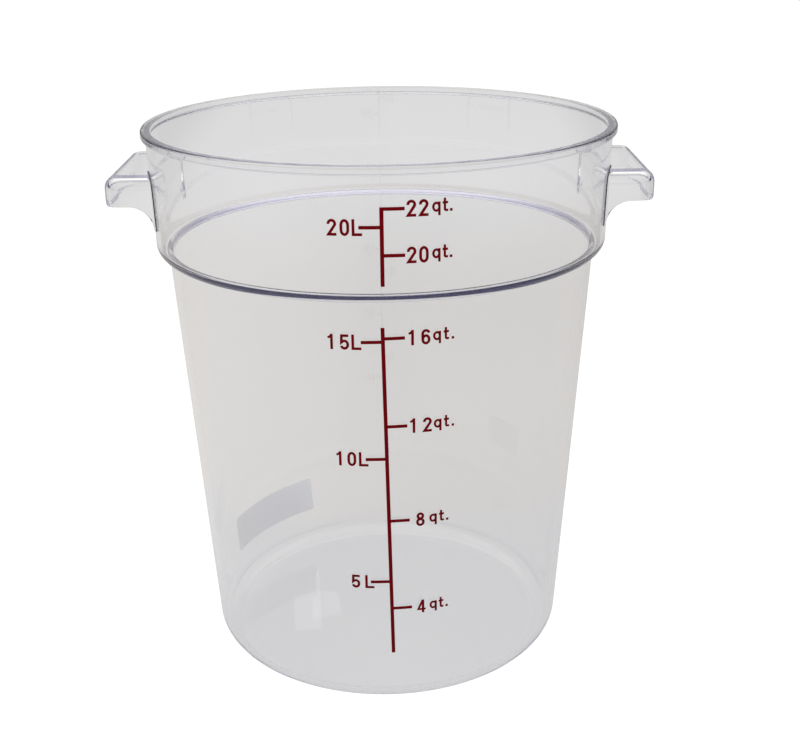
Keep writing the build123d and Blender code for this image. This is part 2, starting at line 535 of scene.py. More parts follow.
@dataclass(frozen=True)
class Lathe:
    """Turns a profile with rounded corners about the Z axis.

    Attributes:
        segments: How many flats there are round the axis.
        arc_step: The most that one flat of a rounded corner turns.
        guard: How far beyond a round its guard points stand.
        merge: Points nearer than this become one, which closes the seam and the poles.
    """

    segments: int = 360
    arc_step: float = 6.0
    guard: float = 0.6 * MM
    merge: float = 0.002 * MM

    def rounded(self, corners: list[Corner]) -> list[Point]:
        """Round a profile's corners, with a guard point on each side of a round to keep flats flat.

        Args:
            corners: The profile, from its first end to its last.

        Returns:
            The points of the rounded profile.
        """
        points: list[Point] = []
        places = [Vector((corner.radius, corner.height)) for corner in corners]
        for before, here, after, corner in zip(places, places[1:], places[2:], corners[1:]):
            points += self.round_one(before, here, after, corner.round)
        first, last = corners[0], corners[-1]
        return [(first.radius, first.height), *points, (last.radius, last.height)]

    def round_one(self, before: Vector, here: Vector, after: Vector, size: float) -> list[Point]:
        """Round one corner.

        Args:
            before: The corner before it.
            here: The corner itself.
            after: The corner after it.
            size: The radius of the round.

        Returns:
            The points of the arc, with its guards.
        """
        towards, onwards = (before - here).normalized(), (after - here).normalized()
        half = math.acos(max(-1.0, min(1.0, towards.dot(onwards)))) / 2
        reach = size / math.tan(half)
        centre = here + (towards + onwards).normalized() * (size / math.sin(half))
        start, end = here + towards * reach - centre, here + onwards * reach - centre
        turn = math.atan2(start.x * end.y - start.y * end.x, start.dot(end))
        steps = max(2, math.ceil(abs(math.degrees(turn)) / self.arc_step))
        arc = [centre + Matrix.Rotation(turn * i / steps, 2) @ start for i in range(steps + 1)]
        guards = [here + way * (reach + self.guard) for way in (towards, onwards)]
        return [(p.x, p.y) for p in (guards[0], *arc, guards[1])]

    def tree(self) -> GeometryTree:
        """Build the tree that turns a profile.

        Returns:
            The tree, with inputs Segments, Merge and Material.
        """
        tree = GeometryTree("turn_profile")
        segments = tree.input("Segments", "NodeSocketInt")
        merge = tree.input("Merge", "NodeSocketFloat")
        material = tree.input("Material", "NodeSocketMaterial")
        profile = tree.start.outputs[0]
        size = tree.add("GeometryNodeAttributeDomainSize")
        tree.join(profile, size.inputs["Geometry"])
        around = tree.math("ADD", segments, 1.0)
        grid = tree.add("GeometryNodeMeshGrid")
        tree.join(size.outputs["Point Count"], grid.inputs["Vertices X"])
        tree.join(around, grid.inputs["Vertices Y"])
        index = tree.add("GeometryNodeInputIndex").outputs[0]
        along = tree.math("FLOOR", tree.math("DIVIDE", tree.math("ADD", index, 0.5), around))
        step = tree.math("SUBTRACT", index, tree.math("MULTIPLY", along, around))
        angle = tree.math("MULTIPLY", tree.math("DIVIDE", step, segments), math.tau)
        sample = tree.add("GeometryNodeSampleIndex", data_type="FLOAT_VECTOR")
        tree.join(profile, sample.inputs["Geometry"])
        tree.join(tree.add("GeometryNodeInputPosition").outputs[0], sample.inputs["Value"])
        tree.join(along, sample.inputs["Index"])
        radius, _, height = tree.split(sample.outputs[0])
        across = tree.math("MULTIPLY", radius, tree.math("COSINE", angle))
        back = tree.math("MULTIPLY", radius, tree.math("SINE", angle))
        move = tree.add("GeometryNodeSetPosition")
        tree.join(grid.outputs["Mesh"], move.inputs["Geometry"])
        tree.join(tree.gather(across, back, height), move.inputs["Position"])
        weld = tree.add("GeometryNodeMergeByDistance")
        tree.join(move.outputs[0], weld.inputs["Geometry"])
        tree.join(merge, weld.inputs["Distance"])
        smooth = tree.add("GeometryNodeSetShadeSmooth")
        tree.join(weld.outputs[0], smooth.inputs["Geometry"])
        tree.finish(smooth.outputs[0], material)
        return tree

    def turn(self, name: str, corners: list[Corner], material: bpy.types.Material) -> bpy.types.Object:
        """Turn a profile into a closed body.

        Args:
            name: The new piece's name.
            corners: The profile, with both ends on the axis.
            material: The piece's material.

        Returns:
            The new piece.
        """
        points = self.rounded(corners)
        mesh = bpy.data.meshes.new(name)
        edges = [(i, i + 1) for i in range(len(points) - 1)]
        mesh.from_pydata([(radius, 0.0, height) for radius, height in points], edges, [])
        values = {"Segments": self.segments, "Merge": self.merge, "Material": material}
        return self.tree().run(name, mesh, values)


@dataclass
class Tub:
    """The one-piece moulding: foot ring, tapered wall, shoulder, collar and rim bead.

    The outside of the wall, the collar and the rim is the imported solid's. Two forms that show only by
    the light inside the plastic are its own: the shoulder's ledge is thicker, which draws the dark line
    along its front, and the underside is one shallow dome, so that no step shows in the floor.
    """

    collar_height: float = 83.7 * MM
    collar_draft: float = 2.3 * MM
    shoulder_round: float = 7.0 * MM
    shoulder_flat: float = 0.2 * MM
    shoulder_neck_round: float = 0.6 * MM
    wall_draft: float = 19.4 * MM
    base_round: float = 16.0 * MM
    bead_reach: float = 3.0 * MM
    bead_height: float = 5.2 * MM
    bead_top_round: float = 1.8 * MM
    bead_foot_round: float = 1.2 * MM
    bead_root_round: float = 0.8 * MM
    wall_thickness: float = 3.2 * MM
    floor_thickness: float = 3.5 * MM
    mouth_round: float = 1.0 * MM
    ledge_thickness: float = 5.2 * MM
    ledge_root_round: float = 2.2 * MM
    ledge_round: float = 3.8 * MM
    foot_recess_depth: float = 1.0 * MM
    foot_ring_width: float = 2.0 * MM
    foot_step_width: float = 100.0 * MM
    foot_step_round: float = 40.0 * MM

    def __post_init__(self) -> None:
        """Take the height and the rim's radius from the frame, and work out the rest from them."""
        low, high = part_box("tub")
        self.height = high.z - low.z
        self.rim_radius = high.x
        self.bead_underside = self.height - self.bead_height
        self.shoulder_height = self.height - self.collar_height
        self.collar_top_radius = self.rim_radius - self.bead_reach
        self.collar_foot_radius = self.collar_top_radius - self.collar_draft
        step = self.shoulder_round + self.shoulder_flat + self.shoulder_neck_round
        self.wall_top_radius = self.collar_foot_radius - step
        self.wall_foot_radius = self.wall_top_radius - self.wall_draft

    def wall_radius(self, height: float) -> float:
        """Outer radius of the lower wall at a height."""
        return self.wall_foot_radius + self.wall_draft * height / self.shoulder_height

    def collar_radius(self, height: float) -> float:
        """Outer radius of the collar at a height."""
        share = (height - self.shoulder_height) / (self.bead_underside - self.shoulder_height)
        return self.collar_foot_radius + self.collar_draft * share

    def profile(self) -> list[Corner]:
        """The tub's profile, from the middle of its underside to the middle of its floor.

        Returns:
            Its corners.
        """
        wall, floor = self.wall_thickness, self.floor_thickness
        ring_inner = self.wall_foot_radius - self.base_round - self.foot_ring_width
        ledge = self.shoulder_height + self.ledge_thickness
        return [
            Corner(0.0, self.foot_recess_depth),
            Corner(ring_inner - self.foot_step_width, self.foot_recess_depth, self.foot_step_round),
            Corner(ring_inner, 0.0, self.foot_step_round),
            Corner(self.wall_foot_radius, 0.0, self.base_round),
            Corner(self.wall_top_radius, self.shoulder_height, self.shoulder_neck_round),
            Corner(self.collar_foot_radius, self.shoulder_height, self.shoulder_round),
            Corner(self.collar_top_radius, self.bead_underside, self.bead_root_round),
            Corner(self.rim_radius, self.bead_underside, self.bead_foot_round),
            Corner(self.rim_radius, self.height, self.bead_top_round),
            Corner(self.collar_top_radius - wall, self.height, self.mouth_round),
            Corner(self.collar_radius(ledge) - wall, ledge, self.ledge_root_round),
            Corner(self.wall_top_radius - wall, ledge, self.ledge_round),
            Corner(self.wall_radius(floor) - wall, floor, self.base_round - wall),
            Corner(0.0, floor),
        ]

    def build(self, lathe: Lathe, plastic: bpy.types.Material) -> bpy.types.Object:
        """Turn the tub and put it in its CAD node's place.

        Args:
            lathe: The lathe that turns it.
            plastic: The clear plastic.

        Returns:
            The finished piece.
        """
        piece = lathe.turn("tub_body", self.profile(), plastic)
        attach(piece, BODY)
        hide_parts("tub")
        return piece


@dataclass
class Carried:
    """CAD nodes whose shape is right as it is, and which only need their finish."""

    nodes: tuple[str, ...]
    slot: Slot

    def dress(self, material: bpy.types.Material) -> list[bpy.types.Object]:
        """Give the nodes their material.

        Args:
            material: The material.

        Returns:
            The nodes' objects.
        """
        pieces = [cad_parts[name] for name in self.nodes]
        for piece in pieces:
            piece.data.materials.clear()
            piece.data.materials.append(material)
        return pieces


@dataclass
class JointLines:
    """The fine lines where one handle's two webs and the ends of its top plate meet the collar, in
    painted shade.

    Attributes:
        name: The new piece's name.
        handle: The CAD node of the handle.
        tub: The tub that it is bonded to.
        radius: The radius of the line.
        clearance: The gap between the line and the parts on both sides of it.
        top_round: The round between a web and the top plate.
        inward: How far the line runs in along the top plate.
        steps: How many spans the bend has.
        sides: How many flats the line has round it.
    """

    name: str
    handle: str
    tub: Tub
    radius: float = 0.38 * MM
    clearance: float = 0.02 * MM
    top_round: float = 9.0 * MM
    inward: float = 9.0 * MM
    steps: int = 8
    sides: int = 10

    def path(self, front: float) -> list[Vector]:
        """The middle of the line along one web, from its foot up and round onto the top plate.

        Args:
            front: -1 for the front web and 1 for the rear one.

        Returns:
            Its points.
        """
        low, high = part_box(self.handle)
        side = math.copysign(1.0, low.x + high.x)
        away = self.radius + self.clearance
        bend = self.top_round + away
        half_width = high.y - self.top_round
        start = high.z - self.top_round
        places = [(half_width + bend, low.z)]
        places += bow((half_width, start), (bend, bend), 0, 90, self.steps)
        places.append((half_width - self.inward, start + bend))
        points = []
        for across, height in places:
            collar = self.tub.collar_radius(height) + away
            points.append(Vector((side * math.sqrt(collar ** 2 - across ** 2), front * across, height)))
        return points

    def tree(self) -> GeometryTree:
        """Build the tree that gives a path its round section.

        Returns:
            The tree, with inputs Radius, Sides and Material.
        """
        tree = GeometryTree("joint_line")
        radius = tree.input("Radius", "NodeSocketFloat")
        sides = tree.input("Sides", "NodeSocketInt")
        material = tree.input("Material", "NodeSocketMaterial")
        curve = tree.add("GeometryNodeMeshToCurve")
        tree.join(tree.start.outputs[0], curve.inputs["Mesh"])
        ring = tree.add("GeometryNodeCurvePrimitiveCircle")
        tree.join(sides, ring.inputs["Resolution"])
        tree.join(radius, ring.inputs["Radius"])
        tube = tree.add("GeometryNodeCurveToMesh")
        tree.join(curve.outputs[0], tube.inputs["Curve"])
        tree.join(ring.outputs[0], tube.inputs["Profile Curve"])
        tube.inputs["Fill Caps"].default_value = True
        smooth = tree.add("GeometryNodeSetShadeSmooth")
        tree.join(tube.outputs[0], smooth.inputs["Geometry"])
        tree.finish(smooth.outputs[0], material)
        return tree

    def build(self, joint_shade: bpy.types.Material) -> bpy.types.Object:
        """Lay the two lines of one handle.

        Args:
            joint_shade: The material of the joint line, a painted shade.

        Returns:
            The finished piece.
        """
        paths = [self.path(-1.0), self.path(1.0)]
        count = len(paths[0])
        edges = [(first + i, first + i + 1) for first in (0, count) for i in range(count - 1)]
        mesh = bpy.data.meshes.new(self.name)
        mesh.from_pydata(paths[0] + paths[1], edges, [])
        values = {"Radius": self.radius, "Sides": self.sides, "Material": joint_shade}
        piece = self.tree().run(self.name, mesh, values)
        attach(piece, BODY)
        return piece


def bow(centre: Point, size: Point, start: float, end: float, steps: int = 12) -> list[Point]:
    """Points along an arc of an ellipse.

    Args:
        centre: The ellipse's centre.
        size: Its half width and half height.
        start: The angle where the arc starts, in degrees from +X.
        end: The angle where it ends.
        steps: How many spans it has.

    Returns:
        The points.
    """
    angles = [math.radians(start + (end - start) * i / steps) for i in range(steps + 1)]
    return [(centre[0] + size[0] * math.cos(a), centre[1] + size[1] * math.sin(a)) for a in angles]


@dataclass(frozen=True)
class Stroke:
    """One stroke of a sign, in shares of a numeral's height.

    Attributes:
        line: The line that its middle follows.
        weight: Its width.
        closed: Whether its end meets its start.
        mitre: The sharpest mitre, as the cosine of half the turn.
    """

    line: list[Point]
    weight: float
    closed: bool = False
    mitre: float = 0.35

    def edges(self, span: float) -> tuple[list[Vector], list[Vector]]:
        """The stroke's two edges, with mitred corners.

        Args:
            span: The longest distance between two points of the line.

        Returns:
            The points of its left edge and of its right edge.
        """
        line = self.spaced(span)
        count = len(line)
        left, right = [], []
        for i, point in enumerate(line):
            before = line[i - 1] if i or self.closed else None
            after = line[(i + 1) % count] if i < count - 1 or self.closed else None
            ways = [(b - a).normalized() for a, b in ((before, point), (point, after)) if a and b]
            normals = [Vector((-way.y, way.x)) for way in ways]
            middle = sum(normals, Vector((0.0, 0.0))).normalized()
            offset = middle * (self.weight / 2 / max(middle.dot(normals[0]), self.mitre))
            left.append(point + offset)
            right.append(point - offset)
        return left, right

    def spaced(self, span: float) -> list[Vector]:
        """The line with points added on its long spans.

        Args:
            span: The longest distance between two points.

        Returns:
            The points.
        """
        points = [Vector(p) for p in self.line]
        ends = points[1:] + points[:1] if self.closed else points[1:]
        spaced: list[Vector] = []
        for a, b in zip(points, ends):
            pieces = max(1, math.ceil((b - a).length / span))
            spaced += [a.lerp(b, i / pieces) for i in range(pieces)]
        return spaced if self.closed else [*spaced, points[-1]]


@dataclass(frozen=True)
class Lettering:
    """Plain upright numerals and unit signs, drawn with a pen of one width."""

    weight: float = 0.165
    width: float = 0.56
    unit_weight: float = 0.14
    unit_drop: float = 0.21

    def strokes(self, sign: str) -> list[Stroke]:
        """The strokes of one sign, with its left edge at 0 and its foot at 0.

        Args:
            sign: A digit, L, q, t or a full stop.

        Returns:
            Its strokes.
        """
        numerals = {"0": self.nought, "1": self.one, "2": self.two, "4": self.four, "5": self.five}
        numerals |= {"6": self.six, "8": self.eight}
        units = {"L": self.ell, "q": self.queue, "t": self.tee, ".": self.stop}
        return (numerals | units)[sign]()

    @property
    def inset(self) -> float:
        """Half a stroke's width, which is how far its middle lies from a numeral's edge."""
        return self.weight / 2

    @property
    def middle(self) -> float:
        """Half a numeral's width."""
        return self.width / 2

    @property
    def bowl(self) -> float:
        """Half width of a numeral's bowl, along the middle of the stroke."""
        return self.middle - self.inset

    def nought(self) -> list[Stroke]:
        """A narrow upright oval.

        Returns:
            Its strokes.
        """
        high, low = 1 - self.inset - 0.27, self.inset + 0.27
        line = bow((self.middle, high), (self.bowl, 0.27), 0, 180)
        line += bow((self.middle, low), (self.bowl, 0.27), 180, 360)
        return [Stroke(line, self.weight, closed=True)]

    def one(self) -> list[Stroke]:
        """A stem with a short flag at its top left.

        Returns:
            Its strokes.
        """
        stem = 0.34 - self.inset
        flag = [(0.02, 0.76), (0.12, 0.80), (stem, 0.93)]
        return [Stroke([(stem, 0.0), (stem, 1.0)], self.weight), Stroke(flag, self.unit_weight)]

    def two(self) -> list[Stroke]:
        """A hook, a slope and a flat foot.

        Returns:
            Its strokes.
        """
        top = 1 - self.inset - self.bowl
        hook = bow((self.middle, top), (self.bowl, self.bowl), 188, -32)
        foot = [(self.inset + 0.01, self.inset), (self.width, self.inset)]
        return [Stroke([*hook, *foot], self.weight)]

    def four(self) -> list[Stroke]:
        """A slope and a bar in one stroke, crossed by a stem.

        Returns:
            Its strokes.
        """
        stem, bar = 0.41, 0.27
        slope = [(stem - 0.03, 0.96), (0.09, bar), (self.width + 0.03, bar)]
        return [Stroke(slope, self.unit_weight), Stroke([(stem, 0.0), (stem, 1.0)], self.weight)]

    def five(self) -> list[Stroke]:
        """A bar, a short stem and a bowl open at the left.

        Returns:
            Its strokes.
        """
        left, top = self.inset + 0.02, 1 - self.inset
        bowl = bow((self.middle - 0.01, 0.33), (self.bowl + 0.01, 0.33 - self.inset), 135, -160, 18)
        bar = [(self.width - 0.03, top), (left, top)]
        return [Stroke([*bar, (left - 0.02, 0.47), *bowl[1:]], self.weight)]

    def six(self) -> list[Stroke]:
        """A closed bowl with a stem that curls over its top.

        Returns:
            Its strokes.
        """
        top = 1 - self.inset - self.bowl
        height = 0.33 - self.inset
        curl = bow((self.middle, top), (self.bowl, self.bowl), 12, 180, 10)
        bowl = bow((self.middle, 0.33), (self.bowl, height), 180, 540, 24)
        stem = Stroke([*curl, (self.inset, 0.36)], self.weight)
        return [stem, Stroke(bowl[:-1], self.weight, closed=True)]

    def eight(self) -> list[Stroke]:
        """Two closed bowls, the upper one smaller.

        Returns:
            Its strokes.
        """
        upper = bow((self.middle, 0.74), (self.bowl - 0.03, 0.26 - self.inset), 0, 360, 22)
        lower = bow((self.middle, 0.30), (self.bowl, 0.30 - self.inset), 0, 360, 24)
        return [Stroke(ring[:-1], self.weight, closed=True) for ring in (upper, lower)]

    def ell(self) -> list[Stroke]:
        """A stem and a foot."""
        return [Stroke([(self.inset, 1.0), (self.inset, self.inset), (0.60, self.inset)], self.weight)]

    def queue(self) -> list[Stroke]:
        """A round bowl with a stem that drops below it.

        Returns:
            Its strokes.
        """
        half, height = 0.50 - self.unit_weight, 0.60 - self.unit_weight
        centre = (self.unit_weight / 2 + half / 2, self.unit_drop + 0.30)
        bowl = bow(centre, (half / 2, height / 2), 0, 360, 22)
        stem = 0.50 - self.unit_weight / 2
        tail = [(stem, self.unit_drop + 0.60), (stem, self.unit_drop - 0.21)]
        return [Stroke(bowl[:-1], self.unit_weight, closed=True), Stroke(tail, self.unit_weight)]

    def tee(self) -> list[Stroke]:
        """A stem with a crossbar and a short foot to the right.

        Returns:
            Its strokes.
        """
        stem, foot = 0.14, self.unit_drop + self.unit_weight / 2
        bar = self.unit_drop + 0.60 - self.unit_weight / 2
        hook = [(stem, self.unit_drop + 0.80), (stem, foot + 0.05), (stem + 0.05, foot), (0.34, foot)]
        return [Stroke(hook, self.unit_weight), Stroke([(0.0, bar), (0.33, bar)], self.unit_weight)]

    def stop(self) -> list[Stroke]:
        """A square dot."""
        level = self.unit_drop + 0.08
        return [Stroke([(0.0, level), (0.16, level)], 0.16)]


@dataclass(frozen=True)
class Caption:
    """The signs beside one mark.

    Attributes:
        signs: What is printed.
        starts_mm: Where each sign starts, in millimetres to the right of the bar's middle.
    """

    signs: str
    starts_mm: tuple[float, ...]


@dataclass
class Numerals:
    """The numerals beside one CAD node of marks, printed as a thin film on the wall.

    Attributes:
        name: The new piece's name.
        marks: The CAD node of the marks.
        captions: The signs beside each mark, from the top down.
        foot: The radius and height of the printed wall's foot.
        top: The radius and height of its top.
        height: The height of a numeral.
        gap: The gap between the film and the wall.
        film: The film's thickness.
        span: The longest flat along a stroke, in shares of a numeral's height.
        bar_half_width: Half the width of the bar that the marks meet.
        level_gap: Corners of marks further apart in height than this are on two marks.
    """

    name: str
    marks: str
    captions: tuple[Caption, ...]
    foot: Point
    top: Point
    height: float = 10.0 * MM
    gap: float = 0.05 * MM
    film: float = 0.2 * MM
    span: float = 0.14
    bar_half_width: float = 1.2 * MM
    level_gap: float = 5.0 * MM

    def radius(self, height: float) -> float:
        """Radius of the printed wall at a height."""
        share = (height - self.foot[1]) / (self.top[1] - self.foot[1])
        return self.foot[0] + (self.top[0] - self.foot[0]) * share

    def levels(self) -> list[Point]:
        """The marks' places, from the top down.

        Returns:
            For each mark its height, and how far round the wall from the front the bar's middle is.
        """
        corners = sorted((v.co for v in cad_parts[self.marks].data.vertices), key=lambda co: -co.z)
        groups: list[list[Vector]] = [[corners[0]]]
        for corner in corners[1:]:
            if groups[-1][-1].z - corner.z > self.level_gap:
                groups.append([])
            groups[-1].append(corner)
        places: list[Point] = []
        for group in groups:
            height = (group[0].z + group[-1].z) / 2
            angles = [math.atan2(corner.x, -corner.y) for corner in group]
            inner = min(angles, key=lambda angle: abs(angle - self.side_of(angles)))
            away = math.copysign(self.bar_half_width, self.middle_of(angles) - inner)
            places.append((height, inner * self.radius(height) - away))
        return places

    @staticmethod
    def middle_of(angles: list[float]) -> float:
        """The middle of a range of angles."""
        return (min(angles) + max(angles)) / 2

    def side_of(self, angles: list[float]) -> float:
        """An angle far beyond the end of a mark that meets its bar."""
        return -math.pi if self.captions[0].starts_mm[0] > 0 else math.pi

    def mesh(self, lettering: Lettering) -> bpy.types.Mesh:
        """All the signs as flat closed strokes, still unwrapped.

        Args:
            lettering: The lettering that draws them.

        Returns:
            A mesh whose X is the distance round the wall, Y the depth into the film and Z the height.
        """
        points: list[tuple[float, float, float]] = []
        faces: list[tuple[int, ...]] = []
        for caption, (level, bar) in zip(self.captions, self.levels()):
            for sign, start in zip(caption.signs, caption.starts_mm):
                corner = Vector((bar + start * MM, level - self.height / 2))
                for stroke in lettering.strokes(sign):
                    self.press(stroke, corner, points, faces)
        mesh = bpy.data.meshes.new(self.name)
        mesh.from_pydata(points, [], faces)
        return mesh

    def press(self, stroke: Stroke, corner: Vector, points: list, faces: list) -> None:
        """Add one stroke as a closed film.

        Args:
            stroke: The stroke.
            corner: The lower left corner of its sign.
            points: The mesh's points, which grow.
            faces: The mesh's faces, which grow.
        """
        left, right = stroke.edges(self.span)
        count, first = len(left), len(points)
        for depth in (0.0, self.film):
            for edge in (left, right):
                for share in edge:
                    across = corner.x + share.x * self.height
                    points.append((across, depth, corner.y + share.y * self.height))
        rows = [first + count * i for i in range(4)]
        for i in range(count if stroke.closed else count - 1):
            j = (i + 1) % count
            for a, b in ((0, 1), (1, 3), (3, 2), (2, 0)):
                faces.append((rows[a] + i, rows[b] + i, rows[b] + j, rows[a] + j))
        if not stroke.closed:
            faces.append(tuple(rows[a] for a in (0, 2, 3, 1)))
            faces.append(tuple(rows[a] + count - 1 for a in (0, 1, 3, 2)))

    def tree(self) -> GeometryTree:
        """Build the tree that joins flat strokes and wraps them round a tapered wall.

        Returns:
            The tree, with inputs Foot Radius, Foot Height, Taper, Gap and Material.
        """
        tree = GeometryTree("print_on_wall")
        foot_radius = tree.input("Foot Radius", "NodeSocketFloat")
        foot_height = tree.input("Foot Height", "NodeSocketFloat")
        taper = tree.input("Taper", "NodeSocketFloat")
        gap = tree.input("Gap", "NodeSocketFloat")
        material = tree.input("Material", "NodeSocketMaterial")
        union = tree.add("GeometryNodeMeshBoolean", operation="UNION", solver="EXACT")
        tree.join(tree.start.outputs[0], union.inputs["Mesh 2"])
        union.inputs["Self Intersection"].default_value = True
        around, depth, height = tree.split(tree.add("GeometryNodeInputPosition").outputs[0])
        rise = tree.math("SUBTRACT", height, foot_height)
        wall = tree.math("ADD", foot_radius, tree.math("MULTIPLY", rise, taper))
        angle = tree.math("DIVIDE", around, wall)
        radius = tree.math("ADD", tree.math("ADD", wall, gap), depth)
        across = tree.math("MULTIPLY", radius, tree.math("SINE", angle))
        front = tree.math("MULTIPLY", tree.math("MULTIPLY", radius, tree.math("COSINE", angle)), -1.0)
        move = tree.add("GeometryNodeSetPosition")
        tree.join(union.outputs["Mesh"], move.inputs["Geometry"])
        tree.join(tree.gather(across, front, height), move.inputs["Position"])
        tree.finish(move.outputs[0], material)
        return tree

    def build(self, lettering: Lettering, ink: bpy.types.Material) -> bpy.types.Object:
        """Print the numerals.

        Args:
            lettering: The lettering that draws them.
            ink: The printing ink.

        Returns:
            The finished piece.
        """
        values = {
            "Foot Radius": self.foot[0],
            "Foot Height": self.foot[1],
            "Taper": (self.top[0] - self.foot[0]) / (self.top[1] - self.foot[1]),
            "Gap": self.gap,
            "Material": ink,
        }
        piece = self.tree().run(self.name, self.mesh(lettering), values)
        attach(piece, BODY)
        return piece


@dataclass
class PrintedScale:
    """The volume scale: its bars and marks, which are CAD nodes, and the numerals beside them."""

    tub: Tub

    def build(self, ink: bpy.types.Material) -> list[bpy.types.Object]:
        """Dress the bars and marks, and print the numerals.

        Args:
            ink: The printing ink.

        Returns:
            All the pieces of the scale.
        """
        bars = ("collar_scale_bar", "wall_scale_bar")
        marks = ("collar_quart_marks", "collar_litre_marks", "wall_quart_marks", "wall_litre_marks")
        pieces = Carried(bars + marks, Slot.INK).dress(ink)
        lettering = Lettering()
        for numerals in self.numerals():
            pieces.append(numerals.build(lettering, ink))
        return pieces

    def numerals(self) -> list[Numerals]:
        """The four groups of numerals, beside the four groups of marks.

        Returns:
            The groups, none of them printed yet.
        """
        tub = self.tub
        collar_top = (tub.collar_top_radius, tub.bead_underside)
        collar = (tub.collar_foot_radius, tub.shoulder_height), collar_top
        wall = (tub.wall_foot_radius, 0.0), (tub.wall_top_radius, tub.shoulder_height)
        return [
            Numerals("collar_quart_numerals", "collar_quart_marks", (
                Caption("22qt.", (14.4, 21.6, 29.3, 35.5, 39.9)),
                Caption("20qt.", (14.4, 21.6, 29.3, 35.5, 39.9)),
            ), *collar),
            Numerals("collar_litre_numerals", "collar_litre_marks", (
                Caption("20L", (-31.8, -24.3, -17.3)),
            ), *collar),
            Numerals("wall_quart_numerals", "wall_quart_marks", (
                Caption("16qt.", (15.4, 23.4, 30.6, 37.3, 42.4)),
                Caption("12qt.", (15.0, 23.3, 30.2, 36.8, 41.9)),
                Caption("8qt.", (17.5, 26.2, 32.7, 37.5)),
                Caption("4qt.", (16.7, 25.3, 31.6, 36.4)),
            ), *wall),
            Numerals("wall_litre_numerals", "wall_litre_marks", (
                Caption("15L", (-33.9, -26.1, -19.1)),
                Caption("10L", (-32.2, -25.0, -17.7)),
                Caption("5L", (-26.0, -17.1)),
            ), *wall),
        ]


def grey(level: float) -> Colour:
    """The neutral colour of a level from black at 0 to white at 1."""
    return (level, level, level, 1.0)


def seen_through_plastic(tree: NodeTree) -> tuple[bpy.types.Node, bpy.types.NodeSocket]:
    """Tell the light paths that come by way of the clear plastic.

    Args:
        tree: The node tree of a material or a world.

    Returns:
        The Light Path node, and the socket that is 1 for a path by way of gloss or plastic.
    """
    path = tree.add("ShaderNodeLightPath")
    ways = (path.outputs["Is Glossy Ray"], path.outputs["Is Transmission Ray"])
    return path, tree.math("MAXIMUM", *ways)


@dataclass(frozen=True)
class Viewpoint:
    """Where the photograph was taken from, and how it was framed.

    Attributes:
        distance: How far the camera stands from the tub's axis.
        height: How high it stands over the floor.
        azimuth: How far round to the right of the tub's front it stands.
        aim_side: How far to the right of the axis it points.
        aim_height: How high above the floor it points.
        roll: How far it leans to one side.
        focal_pixels: Its focal length, in pixels of the picture.
        picture_width: The picture's width in pixels.
        sensor_mm: The sensor's width.
    """

    distance: float = 0.86334
    height: float = 0.52274
    azimuth: float = 0.708
    aim_side: float = 0.0119
    aim_height: float = 0.1968
    roll: float = -0.739
    focal_pixels: float = 1262.0
    picture_width: float = 800.0
    sensor_mm: float = 36.0

    def build(self) -> bpy.types.Object:
        """Make the camera and give it to the scene.

        Returns:
            The camera.
        """
        turn, tilt = math.radians(self.azimuth), math.radians(self.roll)
        place = Vector((self.distance * math.sin(turn), -self.distance * math.cos(turn), self.height))
        aim = Vector((self.aim_side * math.cos(turn), self.aim_side * math.sin(turn), self.aim_height))
        ahead = (aim - place).normalized()
        right = ahead.cross(Vector((0, 0, 1))).normalized()
        up = right.cross(ahead)
        side = right * math.cos(tilt) + up * math.sin(tilt)
        top = up * math.cos(tilt) - right * math.sin(tilt)
        data = bpy.data.cameras.new("camera")
        data.sensor_width = self.sensor_mm
        data.lens = self.focal_pixels / self.picture_width * self.sensor_mm
        camera = bpy.data.objects.new("camera", data)
        axes = Matrix((side, top, -ahead)).transposed().to_4x4()
        camera.matrix_world = Matrix.Translation(place) @ axes
        bpy.context.scene.collection.objects.link(camera)
        bpy.context.scene.camera = camera
        return camera


@dataclass(frozen=True)
class SoftBox:
    """One soft lamp.

    Attributes:
        name: Its name, which says where it stands.
        place: Where it stands.
        width: The width of its face.
        height: The height of its face.
        power: Its power in watts.
        aim: The place that it faces.
        mirrored: Whether it can be seen as a bright pane in gloss and through the clear plastic.
    """

    name: str
    place: Place
    width: float
    height: float
    power: float
    aim: Place = (0.0, 0.0, 0.2)
    mirrored: bool = False

    def build(self) -> bpy.types.Object:
        """Make the lamp, aimed and out of the camera's sight.

        Returns:
            The lamp.
        """
        data = bpy.data.lights.new(self.name, "AREA")
        data.shape = "RECTANGLE"
        data.size, data.size_y = self.width, self.height
        data.energy = self.power
        lamp = bpy.data.objects.new(self.name, data)
        lamp.location = self.place
        way = Vector(self.aim) - Vector(self.place)
        lamp.rotation_euler = way.to_track_quat("-Z", "Y").to_euler()
        lamp.visible_camera = False
        lamp.visible_glossy = self.mirrored
        lamp.visible_transmission = self.mirrored
        bpy.context.scene.collection.objects.link(lamp)
        return lamp


